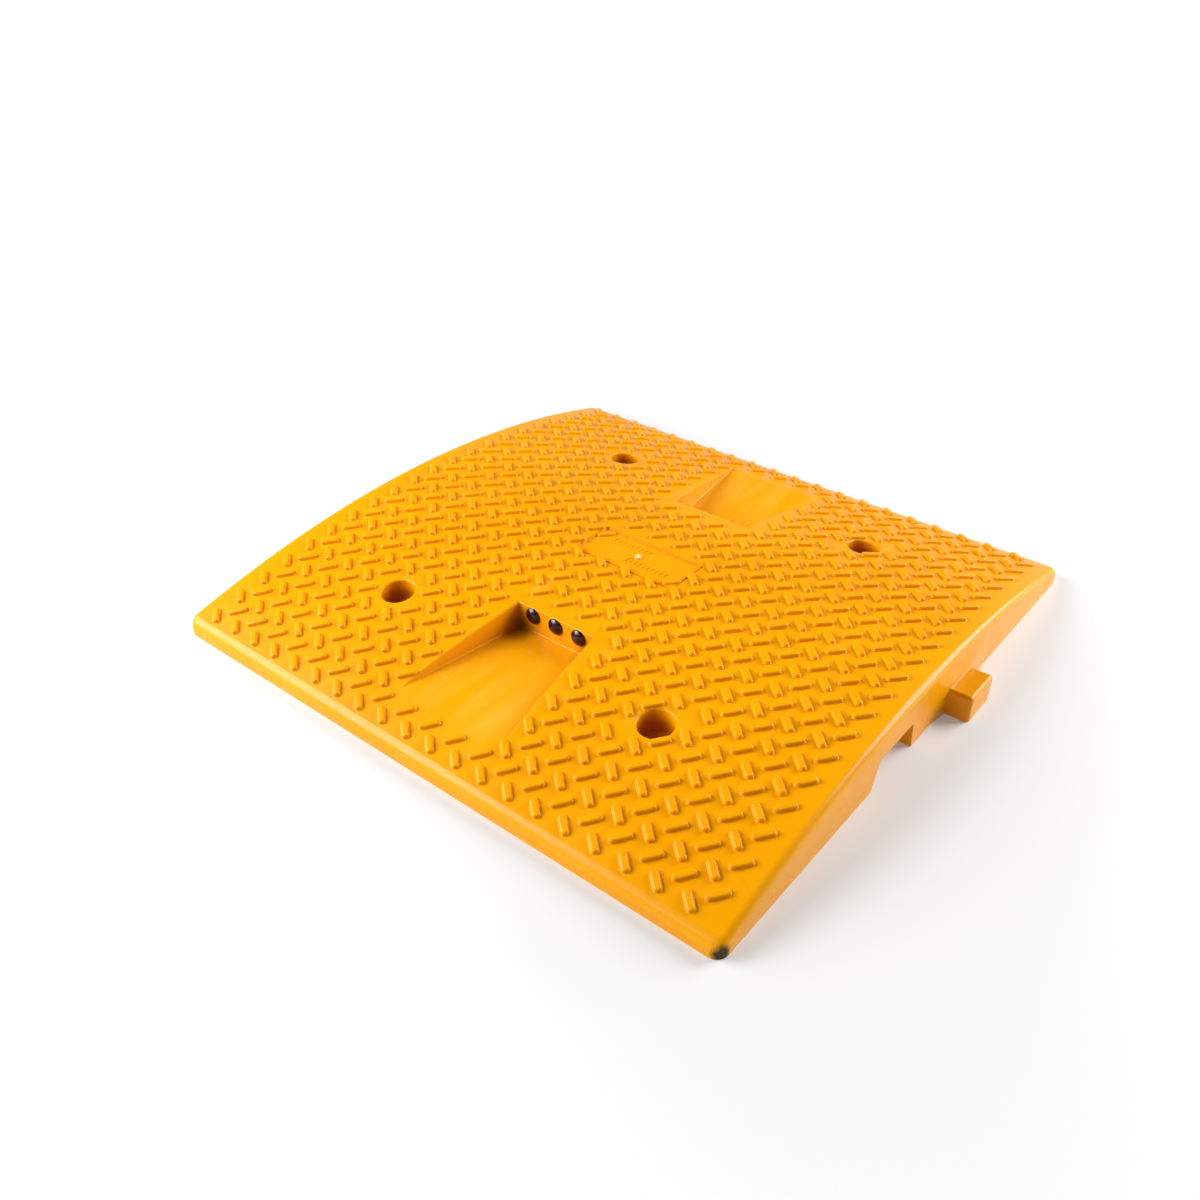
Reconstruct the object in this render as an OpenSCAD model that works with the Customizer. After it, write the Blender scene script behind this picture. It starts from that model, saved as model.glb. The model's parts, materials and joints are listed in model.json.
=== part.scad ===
// Modular rubber speed bump, one 500 x 500 mm middle module.
// Frame: millimetres, origin at the centre of the footprint on the road surface,
// X along the hump (across the lane), Y the direction of travel, Z up.

/* [Which node] */

// Node to build

/* [Body] */

// Length of the module between its two end walls
body_l = 500; // [499:0.5:501]
// Width of the module in the direction of travel
body_w = 500; // [499:0.5:501]
// Height of the crown without the tread
crown_h = 46.4; // [46:0.1:47]
// Radius of the arched running surface
arch_r = 930; // [925:1:935]
// Rounding of the two low lips
lip_r = 7; // [4:0.5:8]
// Rounding of the top edges of the end walls
end_r = 5.5; // [4:0.5:6]
// Rounding of the four upright corners
corner_r = 7; // [3:0.5:8]

/* [Tread] */

// Spacing of the tread bars
pitch = 23.56; // [23.5:0.02:23.6]
// Length of one tread bar
bar_l = 15.4; // [14:0.2:16]
// Width of one tread bar
bar_w = 5.4; // [5:0.2:6]
// Height of one tread bar above the arch
bar_h = 2.8; // [2:0.2:3]

/* [Reflector recess] */

// Distance from the centre to the upright back wall of a recess
recess_back = 99.5; // [99:0.5:100]
// Distance from the centre to the outer end of a recess
recess_end = 205; // [204:0.5:206]
// Half width of a recess at its back wall
recess_half_back = 36; // [35:0.5:37]
// Half width of a recess at its outer end
recess_half_end = 47; // [45:0.5:47]
// Height of the recess floor at the back wall
recess_floor = 19.5; // [19:0.5:20]

/* [Reflectors] */

// Spacing of the three reflectors
lens_gap = 22; // [21.5:0.5:22.5]
// Height of the reflector centres
lens_z = 34; // [32.5:0.5:34]
// Radius of the visible lens
lens_r = 6.75; // [6.5:0.05:6.8]
// How far the dome stands out of its flange
lens_dome = 3; // [2:0.5:3.5]
// Depth of the lens shank in the wall
lens_shank = 6; // [5:0.5:7]
// Wall thickness of the reflecting cup
cup_wall = 0.5; // [0.4:0.1:0.6]

/* [Bolt holes] */

// Radius of the counterbore
cbore_r = 13; // [12.5:0.25:13]
// Height of the counterbore ledge above the road
ledge_z = 19.5; // [18:0.5:20]
// Radius of the through hole
bolt_r = 6.5; // [6:0.5:7]

/* [Tongues and sockets] */

// Length of a tongue beyond the end wall
tongue_l = 20; // [18:0.5:20]
// Width of a tongue
tongue_w = 36; // [35:0.5:37]
// Height of a tongue
tongue_h = 21.5; // [20:0.25:21.5]
// Distance of a tongue from the middle of the end wall
tongue_y = 48.5; // [47:0.5:48.5]
// Depth of a socket
socket_d = 22; // [21:0.5:24]
// Height of a socket
socket_h = 22.5; // [22:0.25:23]

/* [Label panel] */

// Half length of the sunk panel at the crown
label_x = 46.5; // [46:0.5:48]
// Half width of the sunk panel at the crown
label_y = 20; // [19:0.5:20.5]
// Depth of the sunk panel
label_d = 1.2; // [1:0.1:1.5]
// Radius of the moulding gate mark
gate_r = 3; // [2.5:0.5:3.5]

/* [Underside] */

// Side of one square lightening pocket
pocket_s = 38; // [30:1:40]
// Depth of the lightening pockets
pocket_d = 11; // [8:1:11]

/* [Hidden] */

half_l = body_l / 2;
half_w = body_w / 2;
arch_z = crown_h - arch_r;
bolt_x = 5.25 * pitch;
bolt_y = 6 * pitch;
cup_r = lens_r - 0.65;
shank_r = cup_r - cup_wall;
flange_t = 0.8;
dome_r = (lens_r * lens_r + lens_dome * lens_dome) / (2 * lens_dome);
lip_y = half_w - lip_r;
lip_z = arch_z + sqrt(pow(arch_r - lip_r, 2) - pow(lip_y, 2));
touch_y = lip_y * arch_r / (arch_r - lip_r);
floor_tilt = 1.5;
bar_turn = 48;
pocket_pitch = 50;
bite = 1.4;
hole_land = 0.5;
low_bar_drop = 2;
tick_pitch = 4.1;
tick_top = crown_h - 0.3;
yellow = [0.95, 0.62, 0.04];
red = [0.45, 0.03, 0.02];
silver = [0.75, 0.75, 0.77];

// distance of a hole centre from the middle line of a slanted bar
function seg_d(dx, dy, ux, uy, h) =
    let (t = max(-h, min(h, dx * ux + dy * uy)))
    norm([dx - t * ux, dy - t * uy]);

function near_hole(x, y, turn) = min([for (sx = [-1, 1], sy = [-1, 1])
    seg_d(sx * bolt_x - x, sy * bolt_y - y, cos(turn), sin(turn), (bar_l - bar_w) / 2)])
    < cbore_r + bar_w / 2 + hole_land;

function recess_half(y) = recess_half_back + (recess_half_end - recess_half_back)
    * (min(abs(y), recess_end) - recess_back) / (recess_end - recess_back);

function in_recess(x, y) = abs(y) > recess_back - 6 && abs(y) < recess_end + 10
    && abs(x) < recess_half(y) + 5.9;

// true on the panel, and for the slanted row that would cross its back edge
function in_label(x, y) = abs(x) < label_x && y > -label_y && y < label_y + 5;

// true for the lightening pockets that would cut a bolt hole
function on_bolt(ix, iy) = (abs(ix) == 2.5) && (abs(iy) == 2.5 || abs(iy) == 3.5);

// running surface: a disc about an axis far below the road, rounded at both end walls
module arch_disc() {
    translate([0, 0, arch_z]) rotate([0, 90, 0]) translate([0, 0, -half_l])
        rotate_extrude($fn = 360) union() {
            square([arch_r - end_r, body_l]);
            translate([arch_r - end_r - 1, end_r]) square([end_r + 1, body_l - 2 * end_r]);
            translate([arch_r - end_r, end_r]) circle(r = end_r, $fn = 48);
            translate([arch_r - end_r, body_l - end_r]) circle(r = end_r, $fn = 48);
        }
}

// side profile with the two rounded lips, drawn in Y and Z
module lip_profile() {
    union() {
        translate([-half_w, 0]) square([body_w, lip_z]);
        translate([-touch_y, 0]) square([2 * touch_y, crown_h + 10]);
        translate([-lip_y, lip_z]) circle(r = lip_r, $fn = 48);
        translate([lip_y, lip_z]) circle(r = lip_r, $fn = 48);
    }
}

module rounded_plan(l, w, r) {
    union() {
        translate([-l / 2 + r, -w / 2]) square([l - 2 * r, w]);
        translate([-l / 2, -w / 2 + r]) square([l, w - 2 * r]);
        for (sx = [-1, 1], sy = [-1, 1])
            translate([sx * (l / 2 - r), sy * (w / 2 - r)]) circle(r = r, $fn = 48);
    }
}

module shell_block() {
    intersection() {
        arch_disc();
        rotate([90, 0, 90]) translate([0, 0, -half_l - 1]) linear_extrude(body_l + 2) lip_profile();
        linear_extrude(crown_h + 8) rounded_plan(body_l, body_w, corner_r);
    }
}

// front recess, open upwards and towards the lip; the other side is its mirror image
module recess_cut() {
    translate([0, -recess_back, recess_floor]) rotate([-floor_tilt, 0, 0])
        linear_extrude(60) polygon([
            [-recess_half_back, 0], [recess_half_back, 0],
            [recess_half_end, recess_back - recess_end],
            [recess_half_end, recess_back - recess_end - 12],
            [-recess_half_end, recess_back - recess_end - 12],
            [-recess_half_end, recess_back - recess_end]]);
}

module lens_pockets() {
    for (i = [-1, 0, 1])
        translate([i * lens_gap, -recess_back - 1, lens_z]) rotate([-90, 0, 0])
            cylinder(r = cup_r, h = lens_shank + cup_wall + 1, $fn = 64);
}

// socket for a neighbour's tongue, open to the end wall and to the road
module socket_cut() {
    translate([half_l - socket_d, 0, 0]) rotate([90, 0, 90]) linear_extrude(socket_d + 5)
        polygon([[-75, -1], [-17, -1], [-20.5, socket_h], [-67, socket_h]]);
}

module tongue() {
    translate([half_l - 2, tongue_y - tongue_w / 2, 0]) intersection() {
        linear_extrude(tongue_h) union() {
            square([tongue_l, tongue_w]);
            translate([0, 2]) square([tongue_l + 2, tongue_w - 4]);
            for (y = [2, tongue_w - 2]) translate([tongue_l, y]) circle(r = 2, $fn = 48);
        }
        translate([0, -1, 0]) rotate([90, 0, 0]) translate([0, 0, -tongue_w - 2])
            linear_extrude(tongue_w + 2) union() {
                square([tongue_l + 2, tongue_h - 2]);
                square([tongue_l, tongue_h]);
                translate([tongue_l, tongue_h - 2]) circle(r = 2, $fn = 48);
            }
    }
}

module bolt_holes() {
    for (sx = [-1, 1], sy = [-1, 1]) translate([sx * bolt_x, sy * bolt_y, 0]) {
        translate([0, 0, -1]) cylinder(r = bolt_r, h = 60, $fn = 64);
        translate([0, 0, ledge_z]) cylinder(r = cbore_r, h = 40, $fn = 64);
    }
}

module label_cut() {
    difference() {
        translate([-label_x, -label_y, 30]) cube([2 * label_x, 2 * label_y, 30]);
        translate([-label_x - 1, 0, arch_z]) rotate([0, 90, 0])
            cylinder(r = arch_r - label_d, h = 2 * label_x + 2, $fn = 360);
    }
}

module underside_pockets() {
    for (ix = [-3.5:1:3.5], iy = [-3.5:1:3.5]) if (!on_bolt(ix, iy))
        translate([ix * pocket_pitch - pocket_s / 2, iy * pocket_pitch - pocket_s / 2, -1])
            cube([pocket_s, pocket_s, pocket_d + 1]);
}

// one tread bar, laid along the arch and sunk a little into it
module tread_bar(x, y, turn) {
    lean = asin(y / arch_r);
    translate([x, y, arch_z + arch_r * cos(lean)]) rotate([-lean, 0, 0]) rotate([0, 0, turn])
        translate([-bar_l / 2, -bar_w / 2, -bite]) cube([bar_l, bar_w, bar_h + bite]);
}

// two crossing sets of slanted bars, left out where they would meet a hole, a recess or the panel
module tread() {
    for (set = [0, 1], i = [0:19], j = [0:20 - set]) {
        x = (9.25 + 0.5 * set - i) * pitch;
        y = (j - 10 + 0.5 * set) * pitch;
        turn = bar_turn + 90 * (1 - set);
        if (!near_hole(x, y, turn) && !in_recess(x, y) && !in_label(x, y))
            tread_bar(x, y, turn);
    }
}

// two rows of plain slanted ticks on the sunk panel, given as start, place across and count
module label_ticks() {
    for (row = [[-30.5, 10.5, 9], [-6, -7.5, 10]], k = [0:row[2] - 1])
        translate([row[0] + k * tick_pitch, row[1]])
            polygon([[-1.1, -2.4], [0.3, -2.4], [1.3, 2.4], [-0.1, 2.4]]);
}

// two sunk tread bars near the ends of the panel
module label_bars() {
    for (s = [-1, 1]) translate([0, 0, -low_bar_drop])
        tread_bar(s * 1.75 * pitch, -s * pitch / 2, bar_turn);
}

module body() {
    color(yellow) union() {
        difference() {
            shell_block();
            for (a = [0, 180]) rotate([0, 0, a]) {
                recess_cut();
                lens_pockets();
                socket_cut();
            }
            bolt_holes();
            label_cut();
            underside_pockets();
        }
        for (a = [0, 180]) rotate([0, 0, a]) tongue();
        translate([0, 0, 40]) linear_extrude(tick_top - 40) label_ticks();
        tread();
        label_bars();
        translate([0, 0, 40]) cylinder(r = gate_r, h = crown_h - 39.4, $fn = 48);
    }
}

module lens_at(i) {
    color(red) translate([i * lens_gap, -recess_back, lens_z]) rotate([90, 0, 0]) {
        translate([0, 0, -lens_shank]) cylinder(r = shank_r, h = lens_shank + 0.1, $fn = 64);
        cylinder(r = lens_r, h = flange_t, $fn = 64);
        intersection() {
            translate([0, 0, flange_t + lens_dome - dome_r]) sphere(r = dome_r, $fn = 96);
            cylinder(r = lens_r, h = flange_t + lens_dome + 1, $fn = 64);
        }
    }
}

module cup_at(i) {
    color(silver) translate([i * lens_gap, -recess_back, lens_z]) rotate([90, 0, 0]) difference() {
        translate([0, 0, -lens_shank - cup_wall])
            cylinder(r = cup_r, h = lens_shank + cup_wall, $fn = 64);
        translate([0, 0, -lens_shank]) cylinder(r = shank_r, h = lens_shank + 1, $fn = 64);
    }
}

module front_cup_left() { cup_at(-1); }
module front_cup_centre() { cup_at(0); }
module front_cup_right() { cup_at(1); }
module rear_cup_left() { rotate([0, 0, 180]) cup_at(1); }
module rear_cup_centre() { rotate([0, 0, 180]) cup_at(0); }
module rear_cup_right() { rotate([0, 0, 180]) cup_at(-1); }
module front_lens_left() { lens_at(-1); }
module front_lens_centre() { lens_at(0); }
module front_lens_right() { lens_at(1); }
module rear_lens_left() { rotate([0, 0, 180]) lens_at(1); }
module rear_lens_centre() { rotate([0, 0, 180]) lens_at(0); }
module rear_lens_right() { rotate([0, 0, 180]) lens_at(-1); }

body();
front_cup_left();
front_cup_centre();
front_cup_right();
rear_cup_left();
rear_cup_centre();
rear_cup_right();
front_lens_left();
front_lens_centre();
front_lens_right();
rear_lens_left();
rear_lens_centre();
rear_lens_right();
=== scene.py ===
"""Rubber speed bump, one middle module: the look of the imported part.

Lengths are written in millimetres and become metres when a mesh is made or a material is placed.
The frame is the CAD's: X along the hump, Y the direction of travel, Z up, origin at the centre of
the footprint.
"""

import json
import math

import bmesh
import bpy
import numpy as np
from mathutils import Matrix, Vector


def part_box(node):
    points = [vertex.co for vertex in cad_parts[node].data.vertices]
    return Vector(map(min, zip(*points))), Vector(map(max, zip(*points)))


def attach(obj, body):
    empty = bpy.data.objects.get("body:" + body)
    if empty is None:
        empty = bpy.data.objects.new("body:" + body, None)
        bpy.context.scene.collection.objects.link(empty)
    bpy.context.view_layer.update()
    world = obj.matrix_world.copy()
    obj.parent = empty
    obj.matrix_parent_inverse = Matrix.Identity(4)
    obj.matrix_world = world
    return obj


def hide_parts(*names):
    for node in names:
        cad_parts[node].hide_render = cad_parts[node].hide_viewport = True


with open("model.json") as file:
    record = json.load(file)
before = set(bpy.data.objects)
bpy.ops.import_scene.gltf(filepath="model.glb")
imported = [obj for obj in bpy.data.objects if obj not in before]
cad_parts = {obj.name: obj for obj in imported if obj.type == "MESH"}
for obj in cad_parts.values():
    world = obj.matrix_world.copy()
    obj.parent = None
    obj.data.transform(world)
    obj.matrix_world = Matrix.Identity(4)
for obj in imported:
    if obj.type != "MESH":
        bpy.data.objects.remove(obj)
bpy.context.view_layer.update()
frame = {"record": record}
MM = 0.001

# ---------------------------------------------------------------- sizes, in millimetres

mounts = {m["name"]: m for m in frame["record"]["mounts"]}
body_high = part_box("body")[1] / MM
HALF_L = mounts["end_face_right"]["pos_m"][0] / MM
HALF_W = body_high.y
BAR_H = 2.8
CROWN = body_high.z - BAR_H
ARCH_R = 930.0
ARCH_Z = CROWN - ARCH_R
ARCH_STEP = 0.25  # degrees between the rings of an arched solid
LIP_R = 7.0
END_R = 5.5
CORNER_R = 8.6

PITCH = 23.56
BAR_L = 15.4
BAR_W = 5.4
BAR_TURN = 48.0
HOLE_LAND = 0.5
LOW_BAR_DROP = 2.0

RECESS_BACK = 99.5
RECESS_END = 205.0
RECESS_HALF_BACK = 36.0
RECESS_HALF_END = 47.0
RECESS_FLOOR = 19.5
RECESS_TILT = 1.5

BOLT_X = mounts["anchor_bolts"]["dims"]["spacing_x_mm"] / 2
BOLT_Y = mounts["anchor_bolts"]["dims"]["spacing_y_mm"] / 2
BOLT_R = mounts["anchor_bolts"]["dims"]["hole_r_mm"]
CBORE_R = 13.0
LEDGE_Z = 19.5

lens_low, lens_high = (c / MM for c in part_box("front_lens_centre"))
cup_low, cup_high = (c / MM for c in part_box("front_cup_centre"))
LENS_GAP = (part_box("front_lens_right")[0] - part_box("front_lens_centre")[0]).x / MM
LENS_R = (lens_high.x - lens_low.x) / 2
LENS_Z = (lens_high.z + lens_low.z) / 2
LENS_OUT = -RECESS_BACK - lens_low.y
SHANK = lens_high.y + RECESS_BACK
CUP_R = (cup_high.x - cup_low.x) / 2
CUP_DEEP = cup_high.y + RECESS_BACK
CUP_WALL = CUP_DEEP - SHANK

TONGUE_END = mounts["tongue_right"]["pos_m"][0] / MM
TONGUE_Y = mounts["tongue_right"]["pos_m"][1] / MM
TONGUE_W = 36.0
TONGUE_H = 21.5
SOCKET_D = 22.0
SOCKET_H = 22.5

LABEL_X = 46.5
LABEL_Y = 20.0
LABEL_D = 1.2
TICK_PITCH = 4.1
GATE_R = 3.0
POCKET_PITCH = 50.0
POCKET_S = 38.0
POCKET_D = 11.0

FLOOR = 9000

# ---------------------------------------------------------------- mesh helpers


def mesh_object(name, verts, faces):
    """A mesh object from points in millimetres and faces of point numbers."""
    mesh = bpy.data.meshes.new(name)
    mesh.from_pydata((np.asarray(verts, float) * MM).tolist(), [], [list(f) for f in faces])
    mesh.update()
    obj = bpy.data.objects.new(name, mesh)
    bpy.context.scene.collection.objects.link(obj)
    return obj


def loft(rings):
    """Points and faces of the closed solid through rings of equal length, first to last."""
    n = len(rings[0])
    faces = [list(range(n))[::-1], [(len(rings) - 1) * n + i for i in range(n)]]
    for k in range(len(rings) - 1):
        for i in range(n):
            j = (i + 1) % n
            faces.append([k * n + i, k * n + j, (k + 1) * n + j, (k + 1) * n + i])
    return np.concatenate([np.asarray(r, float) for r in rings]), faces


def closed_band(rings):
    """Points and faces of the band through rings of equal length, the last joined to the first."""
    n, m = len(rings[0]), len(rings)
    faces = []
    for k in range(m):
        for i in range(n):
            j, up = (i + 1) % n, (k + 1) % m
            faces.append([k * n + i, k * n + j, up * n + j, up * n + i])
    return np.concatenate([np.asarray(r, float) for r in rings]), faces


def gather(solids):
    """Several (points, faces) pairs as one pair."""
    verts, faces, base = [], [], 0
    for v, f in solids:
        verts.append(np.asarray(v, float))
        faces += [[i + base for i in one] for one in f]
        base += len(v)
    return np.concatenate(verts), faces


def half_turn(solid):
    """The same solid after half a turn about Z."""
    v, f = solid
    return v * np.array([-1.0, -1.0, 1.0]), f


def boolean(target, tool, operation):
    """Applies a boolean with a closed tool, and removes the tool."""
    mod = target.modifiers.new("boolean", "BOOLEAN")
    mod.operation, mod.solver, mod.object = operation, "MANIFOLD", tool
    shape = target.evaluated_get(bpy.context.evaluated_depsgraph_get())
    result = bpy.data.meshes.new_from_object(shape)
    if len(result.polygons) == 0:
        raise RuntimeError("the boolean with " + tool.name + " left nothing")
    target.modifiers.clear()
    old, target.data = target.data, result
    result.name = target.name
    bpy.data.meshes.remove(old)
    bpy.data.meshes.remove(tool.data)


def rounded_outline(corners, radius, step=None, arc=6):
    """Anticlockwise outline of a polygon with rounded corners, its edges cut to at most step."""
    pts = [np.array(c, float) for c in corners]
    radii = radius if hasattr(radius, "__len__") else [radius] * len(pts)
    out = []
    for k, p in enumerate(pts):
        a, b = pts[k - 1] - p, pts[(k + 1) % len(pts)] - p
        a, b = a / np.linalg.norm(a), b / np.linalg.norm(b)
        if radii[k] <= 0:
            out.append(p)
            continue
        half = math.acos(float(np.clip(a @ b, -1, 1))) / 2
        centre = p + (a + b) / np.linalg.norm(a + b) * radii[k] / math.sin(half)
        start, end = p + a * radii[k] / math.tan(half), p + b * radii[k] / math.tan(half)
        t0 = math.atan2(*(start - centre)[::-1])
        turn = (math.atan2(*(end - centre)[::-1]) - t0 + math.pi) % (2 * math.pi) - math.pi
        out += [
            centre + radii[k] * np.array([math.cos(t0 + turn * s), math.sin(t0 + turn * s)])
            for s in np.linspace(0, 1, arc + 1)
        ]
    if step:
        cut = []
        for k, p in enumerate(out):
            q = out[(k + 1) % len(out)]
            n = max(1, math.ceil(np.linalg.norm(q - p) / step))
            cut += [p + (q - p) * s / n for s in range(n)]
        out = cut
    return np.array(out)


def outward(outline):
    """Unit normals of an anticlockwise outline, one at each point."""
    ahead = np.roll(outline, -1, axis=0) - outline
    ahead /= np.linalg.norm(ahead, axis=1)[:, None]
    mean = ahead + np.roll(ahead, 1, axis=0)
    mean /= np.linalg.norm(mean, axis=1)[:, None]
    return np.stack([mean[:, 1], -mean[:, 0]], axis=1)


def with_z(xy, z):
    """Points of an outline in X and Y, set at a height."""
    return np.column_stack([xy, np.broadcast_to(z, len(xy))])


def along_x(yz, x):
    """Points of an outline in Y and Z, set at a place along X."""
    return np.column_stack([np.broadcast_to(x, len(yz)), yz])


def arched(half_length, inner, outer, half_angle, step):
    """A slice of a disc about the arch's axis: half its length, its two radii, and its angles."""
    corners = [
        (-half_length, inner), (half_length, inner), (half_length, outer), (-half_length, outer),
    ]
    x, r = np.array(corners).T
    turns = np.radians(np.arange(-half_angle, half_angle + 0.01, step))[::-1]
    return loft([np.column_stack([x, r * math.sin(t), ARCH_Z + r * math.cos(t)]) for t in turns])


def surface(y):
    """Height of the running surface."""
    return ARCH_Z + np.sqrt(ARCH_R**2 - np.asarray(y, float) ** 2)


def well(outline, floor, foot, rim, steps=5, rim_turn=78.0, least=0.05, above=15.0):
    """A cutter down from the running surface, rounded at its foot and at its rim.
    floor gives the floor's height at a point; the rounding shrinks where the well is shallow."""
    n = outward(outline)
    deep = np.maximum(surface(outline[:, 1]) - floor(outline), least)
    foot = np.minimum(foot, 0.15 * deep)
    rim = np.minimum(rim, 0.7 * deep)
    rings = []
    for a in np.radians(np.linspace(0, 90, steps)):
        xy = outline - n * (foot * (1 - math.sin(a)))[:, None]
        rings.append(with_z(xy, floor(xy) + foot * (1 - math.cos(a))))
    for b in np.radians(np.linspace(0, rim_turn, steps + 1)):
        xy = outline + n * (rim * (1 - math.cos(b)))[:, None]
        top = np.maximum(surface(xy[:, 1]), floor(xy) + least)
        rings.append(with_z(xy, top - rim * (1 - math.sin(b))))
    rings.append(with_z(rings[-1][:, :2], CROWN + above))
    return loft(rings)


# ---------------------------------------------------------------- body: the plain shell


def footprint_block(last_turn=84.0, past=1.0, over=0.06, above=15.0):
    """The footprint carried up and rounded in all round, to run out just above the arch."""
    plan = rounded_outline(
        [(-HALF_L, -HALF_W), (HALF_L, -HALF_W), (HALF_L, HALF_W), (-HALF_L, HALF_W)],
        CORNER_R,
        step=4.0,
        arc=10,
    )
    n = outward(plan)
    radius = END_R * n[:, 0] ** 2 + LIP_R * n[:, 1] ** 2
    rings = [with_z(plan, -4)]
    for b in np.radians(np.linspace(0, last_turn, 11)):
        xy = plan - n * (radius * (1 - math.cos(b)))[:, None]
        rings.append(with_z(xy, surface(xy[:, 1]) - radius * (1 - math.sin(b))))
    reach = radius * (1 - math.cos(math.radians(last_turn))) + past
    xy = plan - n * reach[:, None]
    rings.append(with_z(xy, surface(xy[:, 1]) + over))
    rings.append(with_z(xy, CROWN + above))
    return loft(rings)


def slab_below_road(half=400.0, deep=60.0):
    """Everything below the road surface, as one slab."""
    ring = np.array([(-half, -half), (half, -half), (half, half), (-half, half)])
    return loft([with_z(ring, -deep), with_z(ring, 0)])


body = mesh_object("bump_body", *arched(HALF_L + 10, ARCH_R - 90, ARCH_R, 17, ARCH_STEP))
boolean(body, mesh_object("footprint", *footprint_block()), "INTERSECT")

# ---------------------------------------------------------------- tongues and their root pads


def tongue(edge=2.8, root=6.0):
    """A tongue on the right end wall, with a soft root and a rounded outer end."""
    low = TONGUE_Y - TONGUE_W / 2
    high = TONGUE_Y + TONGUE_W / 2
    section = rounded_outline(
        [(low, -9), (high, -9), (high, TONGUE_H), (low, TONGUE_H)], [1, 1, edge, edge]
    )
    n = outward(section)
    spread = 0.3 + 0.7 * np.clip(n[:, 1], 0, 1)
    rings = [along_x(section + n * (root * spread)[:, None], HALF_L - 3)]
    for a in np.radians(np.linspace(6, 90, 8)):
        grow = root * (1 - math.sin(a)) * spread
        rings.append(along_x(section + n * grow[:, None], HALF_L + 0.75 * root * (1 - math.cos(a))))
    for b in np.radians(np.linspace(0, 90, 7)):
        rings.append(
            along_x(
                section - n * (edge * (1 - math.cos(b))),
                TONGUE_END - edge * (1 - math.sin(b)),
            )
        )
    return loft(rings)


def soft(t):
    """An S-shaped rise from 0 to 1."""
    t = np.clip(t, 0, 1)
    return t * t * (3 - 2 * t)


def root_pad(thick=3.0, near=42.0, far=62.0, low=21.0, top=37.0):
    """The shallow swelling of the end wall round the tongue, as a closed slab."""
    ys = np.linspace(TONGUE_Y - near, TONGUE_Y + far, 53)
    zs = np.linspace(-8, top, 31)
    y, z = np.meshgrid(ys, zs, indexing="ij")
    side = np.where(y < TONGUE_Y, (TONGUE_Y - y) / near, (y - TONGUE_Y) / far)
    rise = soft(1.25 * (1 - side)) * soft((top - z) / (top - low))
    front = np.stack([HALF_L - 0.15 + (thick + 0.15) * rise, y, z], axis=-1)
    back = front.copy()
    back[..., 0] = HALF_L - 8
    m, k = len(ys), len(zs)
    verts = np.concatenate([front.reshape(-1, 3), back.reshape(-1, 3)])

    def at(i, j, layer):
        return layer * m * k + i * k + j

    faces = []
    for i in range(m - 1):
        for j in range(k - 1):
            faces.append([at(i, j, 0), at(i + 1, j, 0), at(i + 1, j + 1, 0), at(i, j + 1, 0)])
            faces.append([at(i, j, 1), at(i, j + 1, 1), at(i + 1, j + 1, 1), at(i + 1, j, 1)])
    rim = (
        [(i, 0) for i in range(m)]
        + [(m - 1, j) for j in range(1, k)]
        + [(i, k - 1) for i in range(m - 2, -1, -1)]
        + [(0, j) for j in range(k - 2, 0, -1)]
    )
    for a, b in zip(rim, rim[1:] + rim[:1]):
        faces.append([at(*b, 0), at(*a, 0), at(*a, 1), at(*b, 1)])
    return verts, faces


for make in (root_pad, tongue):
    one = make()
    boolean(body, mesh_object("grown", *gather([one, half_turn(one)])), "UNION")

# ---------------------------------------------------------------- everything cut out of the body


def recess_floor(xy):
    """Height of the front recess's floor, which rises a little towards the lip."""
    return RECESS_FLOOR + (-xy[:, 1] - RECESS_BACK) * math.tan(math.radians(RECESS_TILT))


def recess():
    """The front recess, open upwards and run out past its outer end."""
    outer = RECESS_END + 12
    outline = rounded_outline(
        [
            (-RECESS_HALF_END, -outer),
            (RECESS_HALF_END, -outer),
            (RECESS_HALF_END, -RECESS_END),
            (RECESS_HALF_BACK, -RECESS_BACK),
            (-RECESS_HALF_BACK, -RECESS_BACK),
            (-RECESS_HALF_END, -RECESS_END),
        ],
        [0, 0, 14, 1.5, 1.5, 14],
        step=4.0,
    )
    rim = np.where(outline[:, 1] > -RECESS_BACK - 0.01, 0.8, 1.5)
    return well(outline, recess_floor, foot=1.1, rim=rim)


def circle(x, y, r, n=64):
    """A circle of n points in X and Y."""
    t = np.linspace(0, 2 * math.pi, n, endpoint=False)
    return np.column_stack([x + r * np.cos(t), y + r * np.sin(t)])


def flat_floor(height):
    """A floor function for a well with a level floor."""
    return lambda xy: np.full(len(xy), height)


def counterbore(x, y):
    """The wide upper part of a bolt hole."""
    return well(circle(x, y, CBORE_R), flat_floor(LEDGE_Z), foot=0.8, rim=1.5)


def through_hole(x, y):
    """The narrow part of a bolt hole, with both its edges broken."""
    levels = [
        (0.6, -10), (0.6, 0.0), (0.0, 0.6), (0.0, LEDGE_Z - 0.5), (0.5, LEDGE_Z), (0.5, LEDGE_Z + 2),
    ]
    return loft([with_z(circle(x, y, BOLT_R + grow, 48), z) for grow, z in levels])


def socket():
    """The socket in the right end wall for a neighbour's tongue, open to the road."""
    side = [(-75.5, -3), (-16.5, -3), (-20.5, SOCKET_H), (-67.0, SOCKET_H)]
    outline = rounded_outline(side, [0, 0, 1.5, 1.5])
    n = outward(outline)
    levels = [(0, HALF_L - SOCKET_D), (0, HALF_L - 0.6), (0.5, HALF_L), (0.5, HALF_L + 6)]
    return loft([along_x(outline + n * grow, x) for grow, x in levels])


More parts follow.
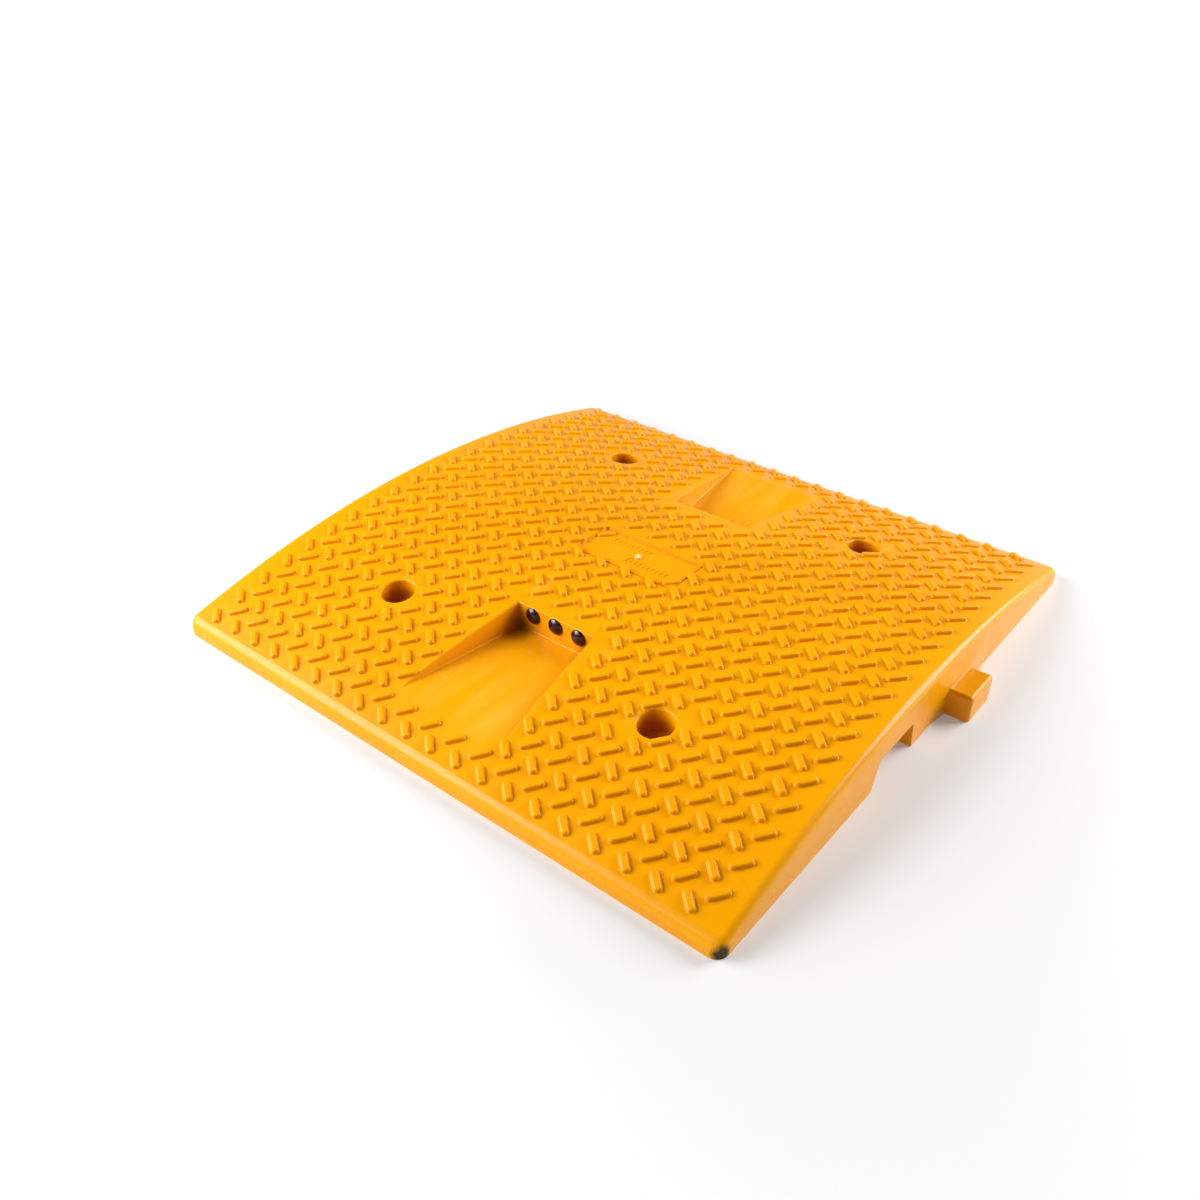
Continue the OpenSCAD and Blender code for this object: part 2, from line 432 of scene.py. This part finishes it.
def pocket(ix, iy):
    """One square lightening pocket in the underside."""
    c = np.array([ix, iy]) * POCKET_PITCH
    h = POCKET_S / 2
    outline = rounded_outline([c + (-h, -h), c + (h, -h), c + (h, h), c + (-h, h)], 4.0, arc=4)
    n = outward(outline)
    levels = [
        (0.3, -8), (0.3, 0), (0.0, 0.5),
        (-0.5, POCKET_D - 1.5), (-1.0, POCKET_D - 0.4), (-2.0, POCKET_D),
    ]
    return loft([with_z(outline + n * grow, z) for grow, z in levels])


def lens_seat(i, n=48):
    """The blind bore behind one lens, in the back wall of the front recess."""
    t = np.linspace(0, 2 * math.pi, n, endpoint=False)
    levels = [(0.4, -3), (0.4, 0), (0, 0.3), (0, CUP_DEEP)]
    return loft(
        [
            np.column_stack(
                [
                    i * LENS_GAP + (CUP_R + grow) * np.cos(t),
                    np.full(n, -RECESS_BACK + deep),
                    LENS_Z - (CUP_R + grow) * np.sin(t),
                ]
            )
            for grow, deep in levels
        ]
    )


def on_bolt(ix, iy):
    """True for the lightening pockets that would cut a bolt hole."""
    return abs(ix) == 2.5 and abs(iy) in (2.5, 3.5)


bolts = [(sx * BOLT_X, sy * BOLT_Y) for sx in (-1, 1) for sy in (-1, 1)]
halves = [k + 0.5 for k in range(-4, 4)]
recesses = [recess(), half_turn(recess())]
boolean(body, mesh_object("recesses", *gather(recesses)), "DIFFERENCE")
boolean(body, mesh_object("counterbores", *gather([counterbore(*b) for b in bolts])), "DIFFERENCE")
small = [through_hole(*b) for b in bolts]
small += [pocket(ix, iy) for ix in halves for iy in halves if not on_bolt(ix, iy)]
small += [socket(), half_turn(socket())]
seats = [lens_seat(i) for i in (-1, 0, 1)]
small += seats + [half_turn(s) for s in seats]
boolean(body, mesh_object("small_cuts", *gather(small)), "DIFFERENCE")


panel_edge = rounded_outline(
    [(-LABEL_X, -LABEL_Y), (LABEL_X, -LABEL_Y), (LABEL_X, LABEL_Y), (-LABEL_X, LABEL_Y)],
    1.0,
    step=4.0,
)


def panel_cutter():
    """The sunk panel's cutter: a well with rounded rim, stopped at a curved floor."""
    cutter = mesh_object("panel", *well(panel_edge, flat_floor(CROWN - 8), foot=0.1, rim=0.45))
    keep = arched(60, ARCH_R - 30, ARCH_R - LABEL_D, 3, 0.2)
    boolean(cutter, mesh_object("panel_floor", *keep), "DIFFERENCE")
    return cutter


def panel_groove():
    """The narrow groove round the sunk panel."""
    n = outward(panel_edge)
    levels = [(0.5, -1.9), (1.35, -1.9), (1.8, -0.4), (2.1, 0.8), (0.1, 0.8), (0.2, -1.0)]
    rings = []
    for grow, h in levels:
        xy = panel_edge + n * grow
        rings.append(with_z(xy, surface(xy[:, 1]) + h))
    return closed_band(rings)


boolean(body, panel_cutter(), "DIFFERENCE")
boolean(body, mesh_object("groove", *panel_groove()), "DIFFERENCE")

# ---------------------------------------------------------------- tread bars


def near_bolt(x, y, turn):
    """True for a bar that would meet a counterbore or its land."""
    u = np.array([math.cos(turn), math.sin(turn)])
    half = (BAR_L - BAR_W) / 2
    for b in bolts:
        d = np.array(b) - (x, y)
        if np.linalg.norm(d - u * np.clip(d @ u, -half, half)) < CBORE_R + BAR_W / 2 + HOLE_LAND:
            return True
    return False


def in_recess(x, y):
    """True for a bar in a recess or on its border."""
    share = (min(abs(y), RECESS_END) - RECESS_BACK) / (RECESS_END - RECESS_BACK)
    half = RECESS_HALF_BACK + (RECESS_HALF_END - RECESS_HALF_BACK) * share
    return RECESS_BACK - 6 < abs(y) < RECESS_END + 10 and abs(x) < half + 5.9


def on_panel(x, y):
    """True on the panel, and for the slanted row that would cross its back edge."""
    return abs(x) < LABEL_X and -LABEL_Y < y < LABEL_Y + 5


def tread_bar(x, y, turn, drop=0.0):
    """One bar: a long dome with a small hollow at its foot, standing square to the arch."""
    half = (BAR_L - BAR_W) / 2
    ends = np.radians(np.linspace(-90, 90, 9))
    t = np.concatenate([ends, ends + math.pi])
    shift = np.where(np.arange(len(t)) < 9, half, -half)
    profile = [
        (3.6, -0.9), (3.35, -0.05), (3.05, 0.1), (2.86, 0.38), (2.76, 0.8), (2.62, 1.5),
        (2.44, 2.05), (2.12, 2.45), (1.62, 2.7), (0.9, BAR_H),
    ]
    lean = math.asin(y / ARCH_R)
    rings = []
    for r, h in profile:
        a = shift + r * np.cos(t)
        b = r * np.sin(t)
        px = a * math.cos(turn) - b * math.sin(turn)
        py = a * math.sin(turn) + b * math.cos(turn)
        pz = np.full(len(t), ARCH_R + h - drop)
        rings.append(
            np.column_stack(
                [
                    x + px,
                    py * math.cos(lean) + pz * math.sin(lean),
                    ARCH_Z - py * math.sin(lean) + pz * math.cos(lean),
                ]
            )
        )
    return loft(rings)


bars = []
for kind in (0, 1):
    turn = math.radians(BAR_TURN + 90 * (1 - kind))
    for i in range(20):
        for j in range(21 - kind):
            x = (9.25 + 0.5 * kind - i) * PITCH
            y = (j - 10 + 0.5 * kind) * PITCH
            if not (near_bolt(x, y, turn) or in_recess(x, y) or on_panel(x, y)):
                bars.append(tread_bar(x, y, turn))
tread = mesh_object("tread", *gather(bars))
boolean(tread, panel_cutter(), "DIFFERENCE")
boolean(tread, mesh_object("recesses", *gather(recesses)), "DIFFERENCE")
boolean(body, tread, "UNION")
low_bars = [
    tread_bar(s * 1.75 * PITCH, -s * PITCH / 2, math.radians(BAR_TURN), LOW_BAR_DROP)
    for s in (-1, 1)
]

# ---------------------------------------------------------------- plain marks on the panel


def tick(x, y, height=0.75):
    """One plain slanted tick on the sunk panel: a generic stand-in for raised marking."""
    base = np.array([(-0.7, -2.4), (0.5, -2.4), (1.5, 2.4), (0.3, 2.4)]) + (x, y)
    n = outward(base)
    floor = float(surface(y)) - LABEL_D
    levels = [(0.35, -0.5), (0.2, 0.1), (0.0, height - 0.15), (-0.15, height)]
    return loft([with_z(base + n * grow, floor + h) for grow, h in levels])


def gate_mark():
    """The round stub left where the mould was filled."""
    floor = CROWN - LABEL_D
    levels = [
        (GATE_R + 0.3, -0.6), (GATE_R + 0.1, 0.05), (GATE_R - 0.1, 0.5), (GATE_R - 0.2, 1.3),
        (GATE_R - 0.6, 1.7), (GATE_R - 1.3, 1.85), (GATE_R - 2.2, 1.9),
    ]
    return loft([with_z(circle(0, 0, r, 32), floor + h) for r, h in levels])


marks = [tick(-30.5 + TICK_PITCH * k, 10.5) for k in range(9)]
marks += [tick(-6.0 + TICK_PITCH * k, -7.5) for k in range(10)]
marks += [gate_mark(), *low_bars]
boolean(body, mesh_object("marks", *gather(marks)), "UNION")

boolean(body, mesh_object("road_cut", *slab_below_road()), "DIFFERENCE")

# ---------------------------------------------------------------- shading of the body


def smooth_body(obj, angle=34.0, spread=28.0, tolerance=0.03):
    """Smooth shading that leaves broad faces flat and gives the arch its own normals."""
    bm = bmesh.new()
    bm.from_mesh(obj.data)
    bmesh.ops.remove_doubles(bm, verts=bm.verts, dist=0.00002)
    bmesh.ops.dissolve_degenerate(bm, edges=bm.edges, dist=0.00001)
    bm.to_mesh(obj.data)
    bm.free()
    obj.data.shade_smooth()
    obj.data.set_sharp_from_angle(angle=math.radians(angle))
    weigh = obj.modifiers.new("weigh", "WEIGHTED_NORMAL")
    weigh.keep_sharp, weigh.weight, weigh.mode = True, 90, "FACE_AREA"
    shape = obj.evaluated_get(bpy.context.evaluated_depsgraph_get())
    mesh = bpy.data.meshes.new_from_object(shape)
    obj.modifiers.clear()
    old, obj.data = obj.data, mesh
    bpy.data.meshes.remove(old)
    mesh.name = obj.name
    count = len(mesh.loops)
    normals = np.empty(count * 3, np.float32)
    mesh.corner_normals.foreach_get("vector", normals)
    normals = normals.reshape(-1, 3)
    co = np.empty(len(mesh.vertices) * 3, np.float32)
    mesh.vertices.foreach_get("co", co)
    co = co.reshape(-1, 3) / MM
    vert_of = np.empty(count, np.int32)
    mesh.loops.foreach_get("vertex_index", vert_of)
    radial = np.stack([np.zeros(len(co)), co[:, 1], co[:, 2] - ARCH_Z], axis=1)
    radius = np.linalg.norm(radial, axis=1)
    radial /= radius[:, None]
    middle = abs(co[:, 0]) < HALF_L - END_R + 0.05
    on_arch = (abs(radius - ARCH_R) < tolerance) & middle
    on_floor = (abs(radius - ARCH_R + LABEL_D) < tolerance) & (abs(co[:, 0]) < LABEL_X + 0.2)
    near = (normals * radial[vert_of]).sum(axis=1) > math.cos(math.radians(spread))
    loops = (on_arch | on_floor)[vert_of] & near
    normals[loops] = radial[vert_of[loops]]
    mesh.normals_split_custom_set(normals.tolist())


smooth_body(body)

# ---------------------------------------------------------------- lenses


def lathe(profile, segments=48):
    """Closed solid turned about Y, from (radius, y) pairs, first to last towards -Y."""
    t = np.linspace(0, 2 * math.pi, segments, endpoint=False)
    return loft(
        [np.column_stack([r * np.cos(t), np.full(segments, y), r * np.sin(t)]) for r, y in profile]
    )


def lens_solid(flange=0.8):
    """Shank, flange and polished dome of one reflector, centred on X and Z, wall face at y = 0."""
    dome = LENS_OUT - flange
    radius = (LENS_R**2 + dome**2) / (2 * dome)
    limit = math.asin(LENS_R / radius)
    shank = CUP_R - CUP_WALL
    profile = [(0.3, SHANK), (shank - 0.3, SHANK), (shank, SHANK - 0.3), (shank, 0.0)]
    profile += [(LENS_R - 0.15, 0.0), (LENS_R, -0.15), (LENS_R, -flange + 0.1)]
    for a in np.linspace(limit * 0.985, 0.03, 14):
        profile.append((radius * math.sin(a), -(flange + dome - radius + radius * math.cos(a))))
    return lathe(profile)


def cup_solid():
    """A thin bright cup behind the shank, open towards the road user."""
    inner = CUP_R - CUP_WALL
    profile = [(0.3, CUP_DEEP), (CUP_R - 0.4, CUP_DEEP), (CUP_R, CUP_DEEP - 0.4), (CUP_R, 0.0)]
    profile += [(inner, 0.0), (inner, SHANK), (0.3, SHANK)]
    return lathe(profile)


def placed(solid, side, index):
    """A solid moved to one of the three seats of the front (side -1) or rear (side 1) recess."""
    v, f = solid
    v = v + np.array([0, -RECESS_BACK, LENS_Z])
    if side > 0:
        v = v * np.array([-1.0, -1.0, 1.0])
    return v + np.array([index * LENS_GAP, 0, 0]), f


lenses = []
cups = []
for side, end in ((-1, "front"), (1, "rear")):
    for index, name in ((-1, "left"), (0, "centre"), (1, "right")):
        lens = mesh_object(f"lens_{end}_{name}", *placed(lens_solid(), side, index))
        cup = mesh_object(f"cup_{end}_{name}", *placed(cup_solid(), side, index))
        for obj, node in ((lens, f"{end}_lens_{name}"), (cup, f"{end}_cup_{name}")):
            obj.data.shade_smooth()
            obj.data.set_sharp_from_angle(angle=math.radians(40))
            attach(obj, "root")
            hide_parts(node)
        lenses.append(lens)
        cups.append(cup)
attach(body, "root")
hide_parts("body")

# ---------------------------------------------------------------- materials


class Nodes:
    """Short calls for the nodes of one material or world."""

    def __init__(self, tree):
        self.tree = tree

    def add(self, kind, **values):
        """A new node, its settings and sockets given by name."""
        node = self.tree.nodes.new(kind)
        for key, value in values.items():
            if hasattr(node, key):
                setattr(node, key, value)
            else:
                node.inputs[key.replace("_", " ")].default_value = value
        return node

    def link(self, output, socket):
        self.tree.links.new(output, socket)

    def place(self):
        """The point on the object, in metres."""
        return self.add("ShaderNodeTexCoord").outputs["Object"]

    def axes(self, where):
        """The X, Y and Z of a point."""
        node = self.add("ShaderNodeSeparateXYZ")
        self.link(where, node.inputs[0])
        return node.outputs["X"], node.outputs["Y"], node.outputs["Z"]

    def point(self, *values):
        """A point from two or three outputs."""
        node = self.add("ShaderNodeCombineXYZ")
        for value, socket in zip(values, node.inputs):
            self.link(value, socket)
        return node.outputs[0]

    def size(self, value):
        """A number without its sign."""
        node = self.add("ShaderNodeMath", operation="ABSOLUTE")
        self.link(value, node.inputs[0])
        return node.outputs[0]

    def less(self, value, amount):
        """A number less a fixed amount."""
        node = self.add("ShaderNodeMath", operation="SUBTRACT")
        self.link(value, node.inputs[0])
        node.inputs[1].default_value = amount
        return node.outputs[0]

    def times(self, a, b):
        node = self.add("ShaderNodeMath", operation="MULTIPLY")
        self.link(a, node.inputs[0])
        self.link(b, node.inputs[1])
        return node.outputs[0]

    def scaled_sum(self, a, factor, b):
        """A number times a fixed factor, plus another number."""
        node = self.add("ShaderNodeMath", operation="MULTIPLY_ADD")
        self.link(a, node.inputs[0])
        node.inputs[1].default_value = factor
        self.link(b, node.inputs[2])
        return node.outputs[0]

    def length(self, where):
        """Distance of a point from the origin, in metres."""
        node = self.add("ShaderNodeVectorMath", operation="LENGTH")
        self.link(where, node.inputs[0])
        return node.outputs["Value"]

    def distance(self, where, spot):
        """Distance in metres of a point from a spot given in millimetres."""
        node = self.add("ShaderNodeVectorMath", operation="DISTANCE")
        self.link(where, node.inputs[0])
        node.inputs[1].default_value = [c * MM for c in spot]
        return node.outputs["Value"]

    def stretched(self, where, scale, turn):
        """A point scaled along each axis and turned about Z."""
        node = self.add("ShaderNodeMapping")
        node.inputs["Scale"].default_value = scale
        node.inputs["Rotation"].default_value = (0.0, 0.0, turn)
        self.link(where, node.inputs["Vector"])
        return node.outputs["Vector"]

    def noise(self, where, scale, detail=3.0, rough=0.5):
        node = self.add("ShaderNodeTexNoise", Scale=scale, Detail=detail, Roughness=rough)
        self.link(where, node.inputs["Vector"])
        return node.outputs["Fac"]

    def ramp(self, value, low, high, to_low=0.0, to_high=1.0):
        """A number taken from one range to another, and held at its ends."""
        node = self.add("ShaderNodeMapRange")
        node.inputs["From Min"].default_value = low
        node.inputs["From Max"].default_value = high
        node.inputs["To Min"].default_value = to_low
        node.inputs["To Max"].default_value = to_high
        self.link(value, node.inputs["Value"])
        return node.outputs["Result"]

    def ramp_mm(self, value, low, high, to_low=0.0, to_high=1.0):
        """The same for a length, its range given in millimetres."""
        return self.ramp(value, low * MM, high * MM, to_low, to_high)

    def blend(self, share, a, b):
        """Colour a where the share is 0, colour b where it is 1."""
        node = self.add("ShaderNodeMix", data_type="RGBA")
        self.link(share, node.inputs["Factor"])
        for socket_index, colour in ((6, a), (7, b)):
            if isinstance(colour, tuple):
                node.inputs[socket_index].default_value = (*colour, 1.0)
            else:
                self.link(colour, node.inputs[socket_index])
        return node.outputs[2]

    def bump(self, height, strength, distance, normal=None):
        node = self.add("ShaderNodeBump", Strength=strength, Distance=distance)
        self.link(height, node.inputs["Height"])
        if normal is not None:
            self.link(normal, node.inputs["Normal"])
        return node.outputs["Normal"]


def material(name):
    """A new material, its shader's sockets and its nodes."""
    mat = bpy.data.materials.new(name)
    mat.use_nodes = True
    return mat, mat.node_tree.nodes["Principled BSDF"].inputs, Nodes(mat.node_tree)


def rub_marks(nodes, where):
    """Pale marks, drawn out along the travel direction and up the walls."""
    streak = nodes.noise(nodes.stretched(where, (60.0, 11.0, 24.0), 0.5), 1.0, 5.0, 0.6)
    return nodes.ramp(streak, 0.6, 0.85, 0.0, 0.3)


def painted_recess_sheen(nodes, where, across, along):
    """Painted reflection: pale streaks along the outer half of each recess floor."""
    streak = nodes.noise(nodes.stretched(where, (48.0, 6.0, 1.0), 0.12), 1.0, 4.0)
    sheen = nodes.ramp(streak, 0.42, 0.66)
    sheen = nodes.times(sheen, nodes.ramp_mm(across, 50, 34))
    sheen = nodes.times(sheen, nodes.ramp_mm(along, 125, 185))
    return nodes.times(sheen, nodes.ramp_mm(along, 222, RECESS_END, 0.0, 0.4))


def hole_painted_shade(nodes, across, along, height):
    """Painted shade, darker low in the bolt holes, but not on the underside."""
    aside = nodes.less(across, BOLT_X * MM)
    ahead = nodes.less(along, BOLT_Y * MM)
    in_hole = nodes.ramp_mm(nodes.length(nodes.point(aside, ahead)), 14.2, CBORE_R)
    low = nodes.ramp_mm(height, 34.5, 25.5, 0.0, 0.62)
    return nodes.times(nodes.times(in_hole, low), nodes.ramp_mm(height, 1, 4))


def recess_corner_painted_shade(nodes, across, along, height):
    """Painted shade in the back corners of the recesses, but not in the pockets below them."""
    corner = (RECESS_HALF_BACK, RECESS_BACK, RECESS_FLOOR + 3)
    away = nodes.distance(nodes.point(across, along, height), corner)
    corner_shade = nodes.ramp_mm(away, 21, 3, 0.0, 0.75)
    return nodes.times(corner_shade, nodes.ramp_mm(height, 12.5, 15.5))


def corner_scuff(nodes, where):
    """A ragged dark scuff on one lower corner."""
    away = nodes.distance(where, (HALF_L - 1.0, -(HALF_W - 3.5), 4.0))
    ragged = nodes.scaled_sum(nodes.noise(where, 260.0, 3.0), 4 * MM, away)
    return nodes.ramp_mm(ragged, 9.8, 6, 0.0, 0.95)


def yellow_rubber():
    """Semi-gloss yellow moulding with its wear, painted shade in its bolt holes and recess corners,
    a painted reflection on its recess floors and a painted highlight on its gate stub.
    """
    mat, shader, nodes = material("yellow_moulded_rubber")
    where = nodes.place()
    x, y, height = nodes.axes(where)
    across = nodes.size(x)
    along = nodes.size(y)
    scuff = corner_scuff(nodes, where)
    # Painted highlight: a pale spot on top of the gate stub in the middle of the panel.
    gate = nodes.ramp_mm(nodes.distance(where, (0, 0, CROWN + 1)), 3.6, 2.2, 0.0, 0.8)
    broad = nodes.ramp(nodes.noise(where, 9.0, 3.0), 0.3, 0.7)
    colour = nodes.blend(broad, (0.81, 0.315, 0.0), (0.87, 0.356, 0.0))
    for share, tint in (
        (rub_marks(nodes, where), (0.93, 0.5, 0.06)),
        # painted reflection: pale streaks on the outer half of each recess floor
        (painted_recess_sheen(nodes, where, across, along), (0.95, 0.52, 0.07)),
        # painted shade, darker low in the bolt holes
        (hole_painted_shade(nodes, across, along, height), (0.36, 0.085, 0.0)),
        # painted shade in the back corners of the recesses
        (recess_corner_painted_shade(nodes, across, along, height), (0.16, 0.06, 0.0)),
        (scuff, (0.028, 0.016, 0.0)),
        # painted highlight on the gate stub
        (gate, (0.95, 0.74, 0.36)),
    ):
        colour = nodes.blend(share, colour, tint)
    nodes.link(colour, shader["Base Color"])
    polish = nodes.ramp(nodes.noise(where, 35.0, 4.0), 0.3, 0.7, 0.21, 0.3)
    nodes.link(nodes.scaled_sum(scuff, 0.3, polish), shader["Roughness"])
    skin = nodes.bump(nodes.noise(where, 420.0, 4.0, 0.6), 0.09, 0.4 * MM)
    sink = nodes.bump(nodes.noise(where, 26.0, 2.0), 0.07, 1.2 * MM, skin)
    nodes.link(sink, shader["Normal"])
    shader["Specular IOR Level"].default_value = 0.22
    return mat


def red_lens():
    """Dark red polished lens with a fine cell pattern under its surface."""
    mat, shader, nodes = material("red_reflector_lens")
    where = nodes.place()
    cells = nodes.add("ShaderNodeTexVoronoi", Scale=900.0)
    nodes.link(where, cells.inputs["Vector"])
    share = nodes.ramp(cells.outputs["Distance"], 0.0, 0.7)
    colour = nodes.blend(share, (0.06, 0.002, 0.001), (0.012, 0.0005, 0.0005))
    nodes.link(colour, shader["Base Color"])
    nodes.link(nodes.ramp(nodes.noise(where, 300.0), 0.3, 0.7, 0.05, 0.12), shader["Roughness"])
    nodes.link(nodes.bump(nodes.noise(where, 500.0), 0.03, 0.2 * MM), shader["Normal"])
    return mat


def cup_metal():
    """Bright pressed metal."""
    mat, shader, nodes = material("bright_cup")
    wear = nodes.noise(nodes.place(), 500.0, 4.0)
    nodes.link(nodes.blend(wear, (0.62, 0.62, 0.64), (0.8, 0.8, 0.82)), shader["Base Color"])
    nodes.link(nodes.ramp(wear, 0.3, 0.7, 0.16, 0.32), shader["Roughness"])
    nodes.link(nodes.bump(wear, 0.05, 0.2 * MM), shader["Normal"])
    shader["Metallic"].default_value = 1.0
    return mat


def pale_floor():
    """A floor that brightens to white away from the object."""
    mat, shader, nodes = material("pale_floor")
    shader["Base Color"].default_value = (0.62, 0.62, 0.62, 1)
    shader["Roughness"].default_value = 0.9
    shader["Emission Color"].default_value = (1, 1, 1, 1)
    glow = nodes.ramp_mm(nodes.length(nodes.place()), 350, 1600, 0.16, 0.95)
    nodes.link(glow, shader["Emission Strength"])
    return mat


body.data.materials.clear()
body.data.materials.append(yellow_rubber())
lens_mat = red_lens()
cup_mat = cup_metal()
for obj in lenses:
    obj.data.materials.append(lens_mat)
for obj in cups:
    obj.data.materials.append(cup_mat)

# ---------------------------------------------------------------- stage, light and camera

floor_corners = [(-FLOOR, -FLOOR, 0), (FLOOR, -FLOOR, 0), (FLOOR, FLOOR, 0), (-FLOOR, FLOOR, 0)]
floor = mesh_object("floor", floor_corners, [(0, 1, 2, 3)])
floor.data.materials.append(pale_floor())


def studio():
    """A grey surround that darkens overhead."""
    world = bpy.data.worlds.new("studio")
    world.use_nodes = True
    nodes = Nodes(world.node_tree)
    background = world.node_tree.nodes["Background"].inputs
    background["Color"].default_value = (1, 1, 1, 1)
    up = nodes.axes(nodes.add("ShaderNodeTexCoord").outputs["Generated"])[2]
    nodes.link(nodes.ramp(up, 0.27, 0.42, 0.4, 0.07), background["Strength"])
    return world


bpy.context.scene.world = studio()


def softbox(name, azimuth, elevation, distance, size, power):
    """A soft light seen from the middle of the part in the given direction, in degrees.
    Its distance and its size are in metres, its power in watts."""
    light = bpy.data.lights.new(name, "AREA")
    light.shape = "RECTANGLE"
    light.size, light.size_y = size
    light.energy = power
    obj = bpy.data.objects.new(name, light)
    bpy.context.scene.collection.objects.link(obj)
    a = math.radians(azimuth)
    e = math.radians(elevation)
    toward = Vector((math.cos(a) * math.cos(e), math.sin(a) * math.cos(e), math.sin(e)))
    obj.location = toward * distance
    obj.rotation_euler = toward.to_track_quat("Z", "Y").to_euler()


softbox("key_left", 219, 32, 1.4, (1.0, 1.0), 27)
softbox("strip_front", 238, 28, 1.5, (1.3, 0.34), 5.0)
softbox("right_back", 53, 29, 1.7, (1.0, 1.2), 38)

camera_data = bpy.data.cameras.new("camera")
camera_data.lens = 34.3
camera_data.sensor_width = 36.0
camera = bpy.data.objects.new("camera", camera_data)
bpy.context.scene.collection.objects.link(camera)
camera.location = (0.4559, -0.6100, 0.5282)
look = Vector((-0.0095, -0.0359, 0.0200)) - camera.location
camera.rotation_euler = look.to_track_quat("-Z", "Y").to_euler()
bpy.context.scene.camera = camera
bpy.context.scene.view_settings.view_transform = "Standard"
